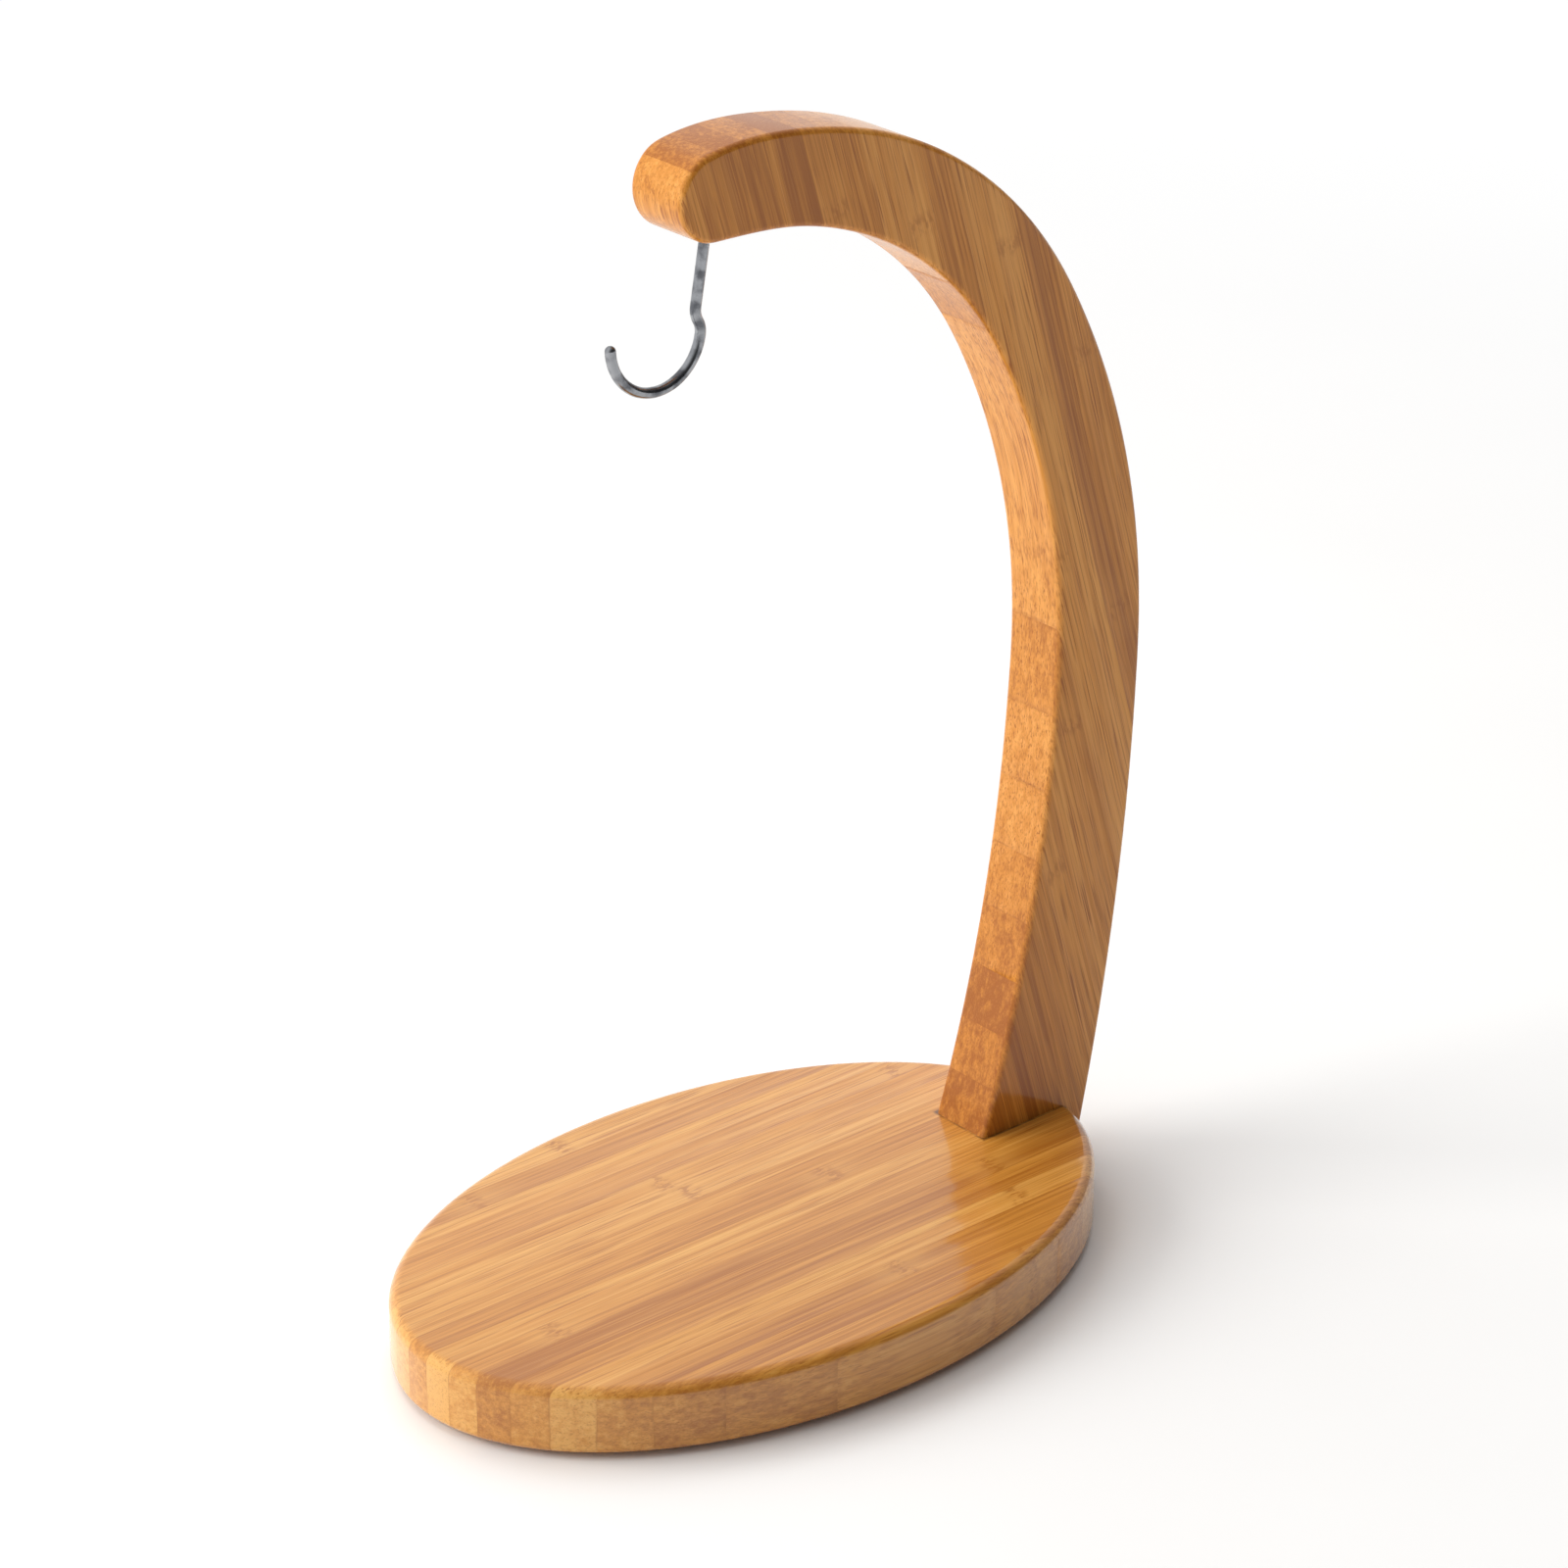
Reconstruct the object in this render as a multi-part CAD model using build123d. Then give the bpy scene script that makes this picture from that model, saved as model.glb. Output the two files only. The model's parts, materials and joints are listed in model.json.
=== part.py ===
from build123d import *
import math
import os

# Free-standing bamboo hanger: an oval base board, a curved arm that is let into the rear end of the board,
# and a bent-wire screw hook that turns in the underside of the arm's tip.
# Millimetres. +X points to the rear, where the arm stands; +Z is up; the hook opens towards -X.
# The origin is the middle of the whole object's footprint, on the surface that the foot pads stand on.

# Base board, glued up from bamboo strips that stand on edge and run front to rear
BASE_LENGTH = 200.0
BASE_WIDTH = 128.8
BASE_THICK = 17.6
RIM_TOP_ROUND = 3.0
RIM_BOTTOM_ROUND = 2.0
BASE_STRIPS = 18
BASE_FIRST_SHARE = 0.27         # width of the first strip, ripped narrower at the rim, as a share of a whole one
BASE_LAST_SHARE = 0.50          # the same for the last strip

# Arm, cut from a second glued-up board whose strips lie at a slant to the upright
ARM_THICK = 18.5
ARM_ROOT_INSET = 17.2           # from the base's rear end to the start of the arm's centreline
ARM_ROOT_DROP = 17.6            # from the board's top down to the start of the arm's centreline
ARM_HEADING = 73.6              # degrees from level at which the centreline starts
ARM_BENDS = ((558.0, 14.8), (176.0, 32.3), (100.3, 69.5))    # radius and turn in degrees, from the foot up
ARM_DEPTHS = (36.8, 28.6, 25.9, 20.4)   # from front face to back face at 0, 1/3, 2/3 and all of its length
ARM_EDGE_ROUND = 1.6
ARM_STRIP_WIDTH = 7.6
ARM_STRIP_SLANT = 17.0          # degrees that the strips lean from the upright
ARM_FIRST_STRIP = 5.7           # width of the offcut strip that makes the end of the nose
THINNEST_STRIP = 1.0            # a seam that would leave a thinner strip at a board's edge is left out

# Joint between arm and base: a shoulder on top of the board, and a heel in a slot in the board's rear end
SLOT_DEPTH = 6.0
SLOT_FIT = 0.1
HEEL_SPARE = 6.0                # extra length below the centreline's start, from which the heel is cut

# Countersunk wood screws, driven up through the board into the arm's foot
SCREW_LENGTH = 35.0
SCREW_RADIUS = 1.75
SCREW_HEAD_RADIUS = 3.5
SCREW_HEAD_EDGE = 0.3
SCREW_POINT = 6.0
SCREW_POINT_RADIUS = 0.2
SCREW_SUNK = 0.4
SCREW_SETBACK = 6.0             # from the slot's front wall to the rear screw
SCREW_SPACING = 11.0
SCREW_HOLE_FIT = 0.2
SCREW_THREAD_FIT = 0.02
RECESS_LENGTH = 3.6
RECESS_WIDTH = 1.0
RECESS_DEPTH = 1.6

# Self-adhesive foot pads
PAD_RADIUS = 6.0
PAD_THICK = 1.5
PAD_EDGE_ROUND = 0.4
PAD_RIM_INSET = 17.0
PAD_ANGLE = 42.0

# Hook, bent from one steel wire
WIRE_RADIUS = 1.3
HOOK_SETBACK = 13.4             # along the arm from the end of its nose
HOOK_LEAN = 10.0                # degrees by which the shank leans from the upright, its lower end to the front
HOOK_THREAD_LENGTH = 13.0
HOOK_POINT = 2.6
HOOK_POINT_RADIUS = 0.3
HOOK_SHANK = 17.6
HOOK_JOG = 2.4                  # how far the wire steps back behind the shank's axis above the bowl
HOOK_JOG_RADIUS = 5.0
HOOK_BOWL_RADIUS = 12.9
HOOK_BOWL_TURN = 168.0
HOOK_FIT = 0.05                 # radial running clearance of the hook in the arm
HOOK_BORE_SPARE = 1.0

EDGE_STATIONS = 22              # stations along the arm at which its outline is worked out
NOSE_STEPS = 8
NOSE_TUCK = 0.75                # the nose's round is centred this share of its radius short of the arm's end
FAR = 1000.0

BOARD_BOTTOM = PAD_THICK
BOARD_TOP = PAD_THICK + BASE_THICK
SLOT_HALF = ARM_THICK / 2 + SLOT_FIT
ARM_LENGTH = sum(radius * math.radians(turn) for radius, turn in ARM_BENDS)
NOSE_CENTRE = ARM_LENGTH - NOSE_TUCK * ARM_DEPTHS[-1] / 2


def centreline(distance):
    """Point (x and z from the arm's root) and heading, a distance along the arm."""
    x, z, heading = 0.0, 0.0, math.radians(ARM_HEADING)
    for radius, turn in ARM_BENDS:
        run = min(distance, radius * math.radians(turn))
        turned = heading + run / radius
        x += radius * (math.sin(turned) - math.sin(heading))
        z += radius * (math.cos(heading) - math.cos(turned))
        heading = turned
        distance -= run
    return x, z, heading


def depth(distance):
    """Depth of the arm from front to back face: the cubic through ARM_DEPTHS at thirds of its length."""
    thirds = 3 * distance / ARM_LENGTH
    total = 0.0
    for i, value in enumerate(ARM_DEPTHS):
        for j in range(len(ARM_DEPTHS)):
            if j != i:
                value *= (thirds - j) / (i - j)
        total += value
    return total


def edge_point(distance, side):
    """Point on the back face (side -1) or the front face (side +1) of the arm, from the arm's root."""
    x, z, heading = centreline(distance)
    half = side * depth(distance) / 2
    return x - half * math.sin(heading), z + half * math.cos(heading)


# The object's own frame, centred on the footprint from the base's front end to the arm's rearmost bulge
REAR_BULGE = max(edge_point(ARM_LENGTH * i / 400, -1)[0] for i in range(401))
BASE_X = -(REAR_BULGE - ARM_ROOT_INSET) / 2
ROOT_X = BASE_X + BASE_LENGTH / 2 - ARM_ROOT_INSET
SLOT_X = BASE_X + BASE_LENGTH / 2 - SLOT_DEPTH


def placed(point):
    """A point measured from the arm's root, in the object's own frame."""
    return ROOT_X + point[0], BOARD_TOP - ARM_ROOT_DROP + point[1]


def turned_solid(outline, x):
    """Solid turned about an upright axis from (radius, height) points."""
    face = Plane.XZ * make_face(Polyline(*outline, close=True))
    return Pos(x, 0, 0) * revolve(face, Axis.Z)


def cut_strips(board, seams, across):
    """Cut a board at each seam, a distance from the origin along across; gives each strip's solids."""
    pieces = []
    for seam in seams:
        plane = Plane(origin=across * seam, z_dir=across)
        pieces.append(split(board, bisect_by=plane, keep=Keep.BOTTOM).solids())
        board = split(board, bisect_by=plane, keep=Keep.TOP)
    pieces.append(board.solids())
    return pieces


def seams_between(first, width, high):
    """Seam positions one strip width apart, from the first one to a board's outer edge."""
    seams = [first + k * width for k in range(50)]
    return [seam for seam in seams if seam < high - THINNEST_STRIP]


# Base board with its slot
def base_board():
    oval = Pos(BASE_X, 0, BOARD_BOTTOM) * Ellipse(BASE_LENGTH / 2, BASE_WIDTH / 2)
    board = extrude(oval, BASE_THICK)
    board = fillet(board.edges().group_by(Axis.Z)[-1], RIM_TOP_ROUND)
    board = fillet(board.edges().group_by(Axis.Z)[0], RIM_BOTTOM_ROUND)
    slot = Pos(SLOT_X + FAR / 2, 0, 0) * Box(FAR, 2 * SLOT_HALF, FAR)
    return board - slot


# Arm with its long edges rounded, cut to a shoulder that stands on the board and a heel behind it
def arm_board():
    stations = [-HEEL_SPARE, *(ARM_LENGTH * i / EDGE_STATIONS for i in range(EDGE_STATIONS - 1))]
    back = [placed(edge_point(s, -1)) for s in stations]
    front = [placed(edge_point(s, 1)) for s in stations]
    x, z, heading = centreline(NOSE_CENTRE)
    radius = depth(NOSE_CENTRE) / 2
    nose = []
    for i in range(NOSE_STEPS + 1):
        angle = heading - math.pi / 2 + math.pi * i / NOSE_STEPS
        nose.append(placed((x + radius * math.cos(angle), z + radius * math.sin(angle))))
    outline = Spline(*back, *nose, *reversed(front))
    face = make_face([outline, Line(outline @ 1, outline @ 0)])
    arm = extrude(Plane.XZ.offset(-ARM_THICK / 2) * face, ARM_THICK)
    arm = fillet(arm.edges().filter_by(GeomType.BSPLINE), ARM_EDGE_ROUND)
    arm -= Pos(SLOT_X - FAR / 2, 0, BOARD_TOP - FAR / 2) * Box(FAR, FAR, FAR)
    arm -= Pos(0, 0, BOARD_BOTTOM - FAR / 2) * Box(FAR, FAR, FAR)
    return arm


# Screws and their holes
SCREW_XS = (SLOT_X - SCREW_SETBACK - SCREW_SPACING, SLOT_X - SCREW_SETBACK)
SCREW_BOTTOM = BOARD_BOTTOM + SCREW_SUNK
SCREW_TOP = SCREW_BOTTOM + SCREW_LENGTH
HEAD_TOP = SCREW_BOTTOM + SCREW_HEAD_EDGE + SCREW_HEAD_RADIUS - SCREW_RADIUS


def wood_screw(x):
    screw = turned_solid([
        (0, SCREW_BOTTOM),
        (SCREW_HEAD_RADIUS, SCREW_BOTTOM),
        (SCREW_HEAD_RADIUS, SCREW_BOTTOM + SCREW_HEAD_EDGE),
        (SCREW_RADIUS, HEAD_TOP),
        (SCREW_RADIUS, SCREW_TOP - SCREW_POINT),
        (SCREW_POINT_RADIUS, SCREW_TOP),
        (0, SCREW_TOP),
    ], x)
    arm_one = Box(RECESS_LENGTH, RECESS_WIDTH, 2 * RECESS_DEPTH)
    arm_two = Box(RECESS_WIDTH, RECESS_LENGTH, 2 * RECESS_DEPTH)
    return screw - Pos(x, 0, SCREW_BOTTOM) * (arm_one + arm_two)


def board_hole(x):
    wide = SCREW_RADIUS + SCREW_HOLE_FIT
    seat_top = HEAD_TOP - SCREW_HOLE_FIT
    return turned_solid([
        (0, 0),
        (SCREW_HEAD_RADIUS, 0),
        (SCREW_HEAD_RADIUS, SCREW_BOTTOM + SCREW_HEAD_EDGE),
        (wide, seat_top),
        (wide, BOARD_TOP + 1),
        (0, BOARD_TOP + 1),
    ], x)


def arm_hole(x):
    tight = SCREW_RADIUS + SCREW_THREAD_FIT
    return turned_solid([
        (0, BOARD_TOP - 1),
        (tight, BOARD_TOP - 1),
        (tight, SCREW_TOP - SCREW_POINT),
        (SCREW_POINT_RADIUS + SCREW_THREAD_FIT, SCREW_TOP + SCREW_THREAD_FIT),
        (0, SCREW_TOP + SCREW_THREAD_FIT),
    ], x)


# Foot pads
def foot_pad(angle):
    x = BASE_X + (BASE_LENGTH / 2 - PAD_RIM_INSET) * math.cos(math.radians(angle))
    y = (BASE_WIDTH / 2 - PAD_RIM_INSET) * math.sin(math.radians(angle))
    pad = Pos(x, y, PAD_THICK / 2) * Cylinder(PAD_RADIUS, PAD_THICK)
    return fillet(pad.edges().group_by(Axis.Z)[0], PAD_EDGE_ROUND)


# Hook. Its own plane has its origin where the shank leaves the wood, x towards the tip and y up into the arm
HOOK_DISTANCE = NOSE_CENTRE + depth(NOSE_CENTRE) / 2 - HOOK_SETBACK
EXIT_X, EXIT_Z = placed(edge_point(HOOK_DISTANCE, 1))
HOOK_UP = Vector(0, 0, 1).rotate(Axis.Y, HOOK_LEAN)
HOOK_PLANE = Plane(origin=(EXIT_X, 0, EXIT_Z), x_dir=HOOK_UP.cross(Vector(0, 1, 0)), z_dir=(0, 1, 0))


def wire_hook():
    jog_turn = math.degrees(math.acos(1 - HOOK_JOG / (2 * HOOK_JOG_RADIUS)))
    shank = Line((0, HOOK_THREAD_LENGTH - HOOK_POINT), (0, -HOOK_SHANK))
    step_out = JernArc(shank @ 1, shank % 1, HOOK_JOG_RADIUS, -jog_turn)
    step_back = JernArc(step_out @ 1, step_out % 1, HOOK_JOG_RADIUS, jog_turn)
    bowl = JernArc(step_back @ 1, step_back % 1, HOOK_BOWL_RADIUS, HOOK_BOWL_TURN)
    path = Wire([shank, step_out, step_back, bowl])
    wire = sweep(Plane(origin=shank @ 0, z_dir=shank % 0) * Circle(WIRE_RADIUS), path=path)
    wire += Pos(bowl @ 1) * Sphere(WIRE_RADIUS)
    point = Rot(-90, 0, 0) * Cone(WIRE_RADIUS, HOOK_POINT_RADIUS, HOOK_POINT)
    wire += Pos(0, HOOK_THREAD_LENGTH - HOOK_POINT / 2, 0) * point
    return HOOK_PLANE * wire


def hook_bore():
    length = 2 * (HOOK_THREAD_LENGTH + HOOK_BORE_SPARE)
    return HOOK_PLANE * (Rot(90, 0, 0) * Cylinder(WIRE_RADIUS + HOOK_FIT, length))


os.makedirs("parts", exist_ok=True)

base = base_board()
arm = arm_board() - hook_bore()
for screw_x in SCREW_XS:
    base -= board_hole(screw_x)
    arm -= arm_hole(screw_x)

base_strip_width = BASE_WIDTH / (BASE_STRIPS - 2 + BASE_FIRST_SHARE + BASE_LAST_SHARE)
first_base_seam = -BASE_WIDTH / 2 + BASE_FIRST_SHARE * base_strip_width
base_seams = [first_base_seam + k * base_strip_width for k in range(BASE_STRIPS - 1)]
for number, solids in enumerate(cut_strips(base, base_seams, Vector(0, 1, 0)), 1):
    export_step(Compound(children=solids), f"parts/base_strip_{number:02d}.step")

ACROSS_ARM = Vector(1, 0, 0).rotate(Axis.Y, -ARM_STRIP_SLANT)
upright_arm = (Rot(0, ARM_STRIP_SLANT, 0) * arm).bounding_box()
first_arm_seam = upright_arm.min.X + ARM_FIRST_STRIP
arm_seams = seams_between(first_arm_seam, ARM_STRIP_WIDTH, upright_arm.max.X)
PART_NAMES = {1: [""], 2: ["_lower", "_upper"], 3: ["_heel", "_lower", "_upper"]}
for number, solids in enumerate(cut_strips(arm, arm_seams, ACROSS_ARM), 1):
    for name, solid in zip(PART_NAMES[len(solids)], sorted(solids, key=lambda solid: solid.center().Z)):
        export_step(solid, f"parts/arm_strip_{number:02d}{name}.step")

export_step(Compound(children=[wood_screw(x) for x in SCREW_XS]), "parts/foot_screws.step")
export_step(wire_hook(), "parts/hook.step")
for name, angle in (("rear_left", PAD_ANGLE), ("front_left", 180 - PAD_ANGLE),
                    ("front_right", 180 + PAD_ANGLE), ("rear_right", -PAD_ANGLE)):
    export_step(foot_pad(angle), f"parts/pad_{name}.step")
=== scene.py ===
import json
import math

import bmesh
import bpy
from bpy.props import FloatProperty, FloatVectorProperty, IntProperty, PointerProperty
from bpy.types import Operator, Panel, PropertyGroup
from mathutils import Matrix, Vector


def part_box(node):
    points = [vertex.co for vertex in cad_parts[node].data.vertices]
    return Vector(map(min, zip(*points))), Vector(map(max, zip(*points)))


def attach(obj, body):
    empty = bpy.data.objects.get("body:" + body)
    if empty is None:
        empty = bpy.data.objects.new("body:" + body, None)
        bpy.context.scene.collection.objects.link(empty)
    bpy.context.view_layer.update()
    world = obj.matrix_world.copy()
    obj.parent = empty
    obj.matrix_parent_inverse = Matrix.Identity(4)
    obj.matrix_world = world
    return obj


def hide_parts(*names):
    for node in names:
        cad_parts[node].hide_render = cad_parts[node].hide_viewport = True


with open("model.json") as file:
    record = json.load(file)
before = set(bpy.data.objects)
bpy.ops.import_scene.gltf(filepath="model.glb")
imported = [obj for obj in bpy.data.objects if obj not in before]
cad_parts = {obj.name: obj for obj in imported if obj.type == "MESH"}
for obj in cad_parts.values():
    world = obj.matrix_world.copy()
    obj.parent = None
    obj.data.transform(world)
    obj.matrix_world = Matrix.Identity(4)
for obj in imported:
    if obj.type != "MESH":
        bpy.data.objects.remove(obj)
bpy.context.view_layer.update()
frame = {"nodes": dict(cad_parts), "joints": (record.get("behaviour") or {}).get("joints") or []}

bl_info = {
    "name": "Bamboo hook stand",
    "version": (1, 0, 0),
    "blender": (4, 5, 0),
    "location": "3D View > Sidebar > Stand",
    "description": "Dresses the oval base, curved arm, wire hook, screws and pads of a bamboo hanging stand",
    "category": "Object",
}

MM = 0.001

# Strips of each board, in the order in which they were glued up. Tone runs from -1, pale, to 1, dark.
# A knuckle is the ring across a bamboo cane: its place along the strip in millimetres. At 400 it is past
# the strip's end, and the strip shows none.
BOARD_STRIPS = {
    1: (0.14, 400), 2: (0.42, 31), 3: (0.63, 400), 4: (0.35, 2), 5: (-0.14, 47), 6: (0.42, 400),
    7: (0.77, 52), 8: (0.14, -80), 9: (-0.35, 400), 10: (0.42, 18), 11: (-0.07, 400), 12: (-0.42, -14),
    13: (-0.07, -17), 14: (0.28, 66), 15: (-0.49, 400), 16: (0.35, -58), 17: (-0.49, -26), 18: (-0.28, 400),
}
ARM_STRIPS = {
    1: (-0.10, 400), 2: (0.50, 400), 3: (0.65, 400), 4: (0.42, 40), 5: (0.90, 400), 6: (0.32, 262),
    7: (0.05, 400), 8: (-0.30, 60), 9: (-0.45, 246), 10: (0.20, 96), 11: (-0.55, 141), 12: (-0.60, 228),
    13: (0.50, 118), 14: (-0.10, 190), 15: (0.10, 400),
}
BOARD_SEED_STEP = 1.37
ARM_FIRST_SEED = 40
ARM_SEED_STEP = 2.11

# Noise scales of the grain: features in a metre across the strip, through it and along it
HAIR = (2600, 2600, 34)
STREAK = (820, 820, 11)
DRIFT = (170, 170, 7)
BUNDLES = (1700, 1700, 42)
WOBBLE = (260, 260, 1)
SPECKLE = (1100, 1100, 380)

# Hook, beside the sizes in its settings
WIRE_SIDES = 32
HOOK_POINT = 2.6 * MM           # length of the tapered point of the thread
HOOK_POINT_SHARE = 0.25         # radius at the very point, as a share of the wire's
THREAD_END = 0.6 * MM           # height above the wood's face at which the thread has run out
THREAD_FADE = 1.5 * MM          # length over which it runs out
THREAD_DEPTH = 0.26             # as a share of the wire's radius
THREAD_STEPS = 150
THREAD_HALF_FLANK = 0.32        # half the width of a thread's ridge, as a share of its pitch
SHANK_STEPS = 12
JOG_STEPS = 12
BOWL_STEPS = 72
TIP_STEPS = 7
WORN_PLATE = (0.13, 0.135, 0.15, 1)

# Wood screws. The profile is (height above the head's face, radius) in millimetres, up to the thread
SCREW_PROFILE = (
    (0, 0.6), (0, 2.2), (0, 3.44), (0.06, 3.5), (0.3, 3.5), (2.05, 1.75), (9.0, 1.75), (11.0, 1.6),
)
SCREW_HEAD_RADIUS = 3.5 * MM
SCREW_THREAD_RADIUS = 1.75 * MM
SCREW_CORE_RADIUS = 1.2 * MM
SCREW_THREAD_START = 11.0 * MM
SCREW_POINT = 6.0 * MM
SCREW_POINT_SHARE = 0.10
SCREW_STEPS = 210
RECESS_WIDTH = 1.0 * MM
RECESS_HEIGHT = 3.2 * MM        # of the cutter, half of which is in the head
WORN_ZINC = (0.40, 0.36, 0.27, 1)

# Foot pads
PAD_HUB = 0.5 * MM              # radius of the small facet in the middle of a round face
PAD_EDGE = 0.4 * MM
PAD_EDGE_STEPS = 6
PAD_CRISP = 0.05 * MM           # break of the pad's upper edge

# Studio: (name, share of the key light's power, width, place, whether it shows in reflections)
LAMPS = (
    ("key", 0.80, 0.9, (-1.15, 0.70, 0.75), False),
    ("key shine", 0.20, 0.9, (-1.15, 0.70, 0.75), True),
    ("top", 0.55, 1.2, (0.1, 0.5, 1.5), False),
)
LAMP_TINT = (1.0, 0.98, 0.95)
LAMP_AIM = (0.0, 0.0, 0.13)
BRIGHT_SIDE = (-0.35, 0.93, 0.10)       # direction in which the room is white; the far side is dim
FLOOR_HALF = 12.0
FLOOR_FADE = (0.35, 1.10)               # distance over which the floor turns into plain white
SENSOR_WIDTH = 36.0


# ---------------------------------------------------------------- sizes and colours a user would change

class BoardSettings(PropertyGroup):
    pale: FloatVectorProperty(name="Pale bamboo", description="Colour of the palest strips",
                              subtype="COLOR", size=4, default=(0.76, 0.39, 0.090, 1))
    amber: FloatVectorProperty(name="Amber bamboo", description="Colour of most strips",
                               subtype="COLOR", size=4, default=(0.61, 0.255, 0.036, 1))
    dark: FloatVectorProperty(name="Dark bamboo", description="Colour of the darkest strips and the fibres",
                              subtype="COLOR", size=4, default=(0.40, 0.135, 0.013, 1))
    strip_width: FloatProperty(name="Strip width", description="Width of one glued strip",
                               default=7.68 * MM, unit="LENGTH", precision=4)
    first_strip: FloatProperty(name="First strip", description="Width of the strip at the board's edge",
                               default=2.074 * MM, unit="LENGTH", precision=4)
    knuckles: FloatProperty(name="Knuckles", description="How strongly the cane's rings show", default=0.8)


class ArmSettings(PropertyGroup):
    pale: FloatVectorProperty(name="Pale bamboo", description="Colour of the palest strips",
                              subtype="COLOR", size=4, default=(0.76, 0.34, 0.072, 1))
    amber: FloatVectorProperty(name="Amber bamboo", description="Colour of most strips",
                               subtype="COLOR", size=4, default=(0.60, 0.23, 0.031, 1))
    dark: FloatVectorProperty(name="Dark bamboo", description="Colour of the darkest strips and the fibres",
                              subtype="COLOR", size=4, default=(0.36, 0.110, 0.011, 1))
    strip_width: FloatProperty(name="Strip width", description="Width of one glued strip",
                               default=7.6 * MM, unit="LENGTH", precision=4)
    first_strip: FloatProperty(name="First strip", description="Width of the offcut strip at the nose",
                               default=5.7 * MM, unit="LENGTH", precision=4)
    slant: FloatProperty(name="Slant", description="Lean of the strips from the upright",
                         default=math.radians(17), subtype="ANGLE")
    knuckles: FloatProperty(name="Knuckles", description="How strongly the cane's rings show", default=0.5)


class HookSettings(PropertyGroup):
    wire_radius: FloatProperty(name="Wire radius", description="Radius of the wire",
                               default=1.3 * MM, unit="LENGTH", precision=4)
    shank: FloatProperty(name="Shank", description="Straight wire below the wood",
                         default=17.6 * MM, unit="LENGTH", precision=4)
    jog: FloatProperty(name="Jog", description="How far the wire steps back above the bowl",
                       default=2.4 * MM, unit="LENGTH", precision=4)
    jog_radius: FloatProperty(name="Jog radius", description="Bend radius of the jog",
                              default=5.0 * MM, unit="LENGTH", precision=4)
    bowl_radius: FloatProperty(name="Bowl radius", description="Bend radius of the bowl",
                               default=12.9 * MM, unit="LENGTH", precision=4)
    bowl_turn: FloatProperty(name="Bowl turn", description="How far round the bowl goes",
                             default=math.radians(168), subtype="ANGLE")
    thread_length: FloatProperty(name="Thread length", description="Length of the screw end in the wood",
                                 default=13.0 * MM, unit="LENGTH", precision=4)
    pitch: FloatProperty(name="Thread pitch", description="Rise of the thread in one turn",
                         default=1.1 * MM, unit="LENGTH", precision=4)
    plate: FloatVectorProperty(name="Plate", description="Colour of the bright plating",
                               subtype="COLOR", size=4, default=(0.34, 0.35, 0.37, 1))


class FittingSettings(PropertyGroup):
    pitch: FloatProperty(name="Screw pitch", description="Rise of the wood screws' thread in one turn",
                         default=1.6 * MM, unit="LENGTH", precision=4)
    recess_arm: FloatProperty(name="Recess", description="Length of the cross recess in a screw head",
                              default=3.6 * MM, unit="LENGTH", precision=4)
    zinc: FloatVectorProperty(name="Zinc", description="Colour of the screws",
                              subtype="COLOR", size=4, default=(0.56, 0.53, 0.44, 1))
    rubber: FloatVectorProperty(name="Rubber", description="Colour of the foot pads",
                                subtype="COLOR", size=4, default=(0.018, 0.018, 0.019, 1))
    sides: IntProperty(name="Sides", description="Sides of the round pieces", default=48, min=12)


class StudioSettings(PropertyGroup):
    azimuth: FloatProperty(name="Azimuth", description="Direction round the stand from which it is seen",
                           default=math.radians(-40.0485), subtype="ANGLE")
    elevation: FloatProperty(name="Elevation", description="Height of the view above the level",
                             default=math.radians(25.1179), subtype="ANGLE")
    place: FloatVectorProperty(name="Camera place", description="From the middle of the board's underside",
                               default=(-0.638915, -0.773475, 0.605599), subtype="TRANSLATION")
    lens: FloatProperty(name="Lens", description="Focal length in millimetres", default=107.49)
    key: FloatProperty(name="Key light", description="Power of the large soft light", default=16.0)
    sky: FloatProperty(name="Room light", description="Strength of the white surroundings", default=1.0)


# ---------------------------------------------------------------- shader helpers

def put(tree, socket, value):
    """Feed a socket from another socket, or set its constant."""
    if isinstance(value, bpy.types.NodeSocket):
        tree.links.new(value, socket)
    else:
        socket.default_value = value


def calc(tree, operation, first, second=0.0, third=0.0, clamp=False):
    node = tree.nodes.new("ShaderNodeMath")
    node.operation = operation
    node.use_clamp = clamp
    for socket, value in zip(node.inputs, (first, second, third)):
        put(tree, socket, value)
    return node.outputs[0]


def vector_calc(tree, operation, first, second):
    node = tree.nodes.new("ShaderNodeVectorMath")
    node.operation = operation
    put(tree, node.inputs[0], first)
    put(tree, node.inputs[1], second)
    return node.outputs[0]


def ease(tree, value, low, high, to_low=0.0, to_high=1.0):
    """Smooth step from to_low at low to to_high at high."""
    node = tree.nodes.new("ShaderNodeMapRange")
    node.interpolation_type = "SMOOTHSTEP"
    for socket, number in zip(node.inputs, (value, low, high, to_low, to_high)):
        put(tree, socket, number)
    return node.outputs[0]


def blend(tree, amount, first, second, mode="MIX"):
    node = tree.nodes.new("ShaderNodeMix")
    node.data_type = "RGBA"
    node.blend_type = mode
    put(tree, node.inputs[0], amount)
    put(tree, node.inputs[6], first)
    put(tree, node.inputs[7], second)
    return node.outputs[2]


def cloud(tree, vector, stretch, detail=2.0, rough=0.5):
    """Noise of features one over stretch metres in size, in each direction."""
    node = tree.nodes.new("ShaderNodeTexNoise")
    node.inputs["Scale"].default_value = 1.0
    node.inputs["Detail"].default_value = detail
    node.inputs["Roughness"].default_value = rough
    put(tree, node.inputs["Vector"], vector_calc(tree, "MULTIPLY", vector, stretch))
    return node.outputs["Fac"]


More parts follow.
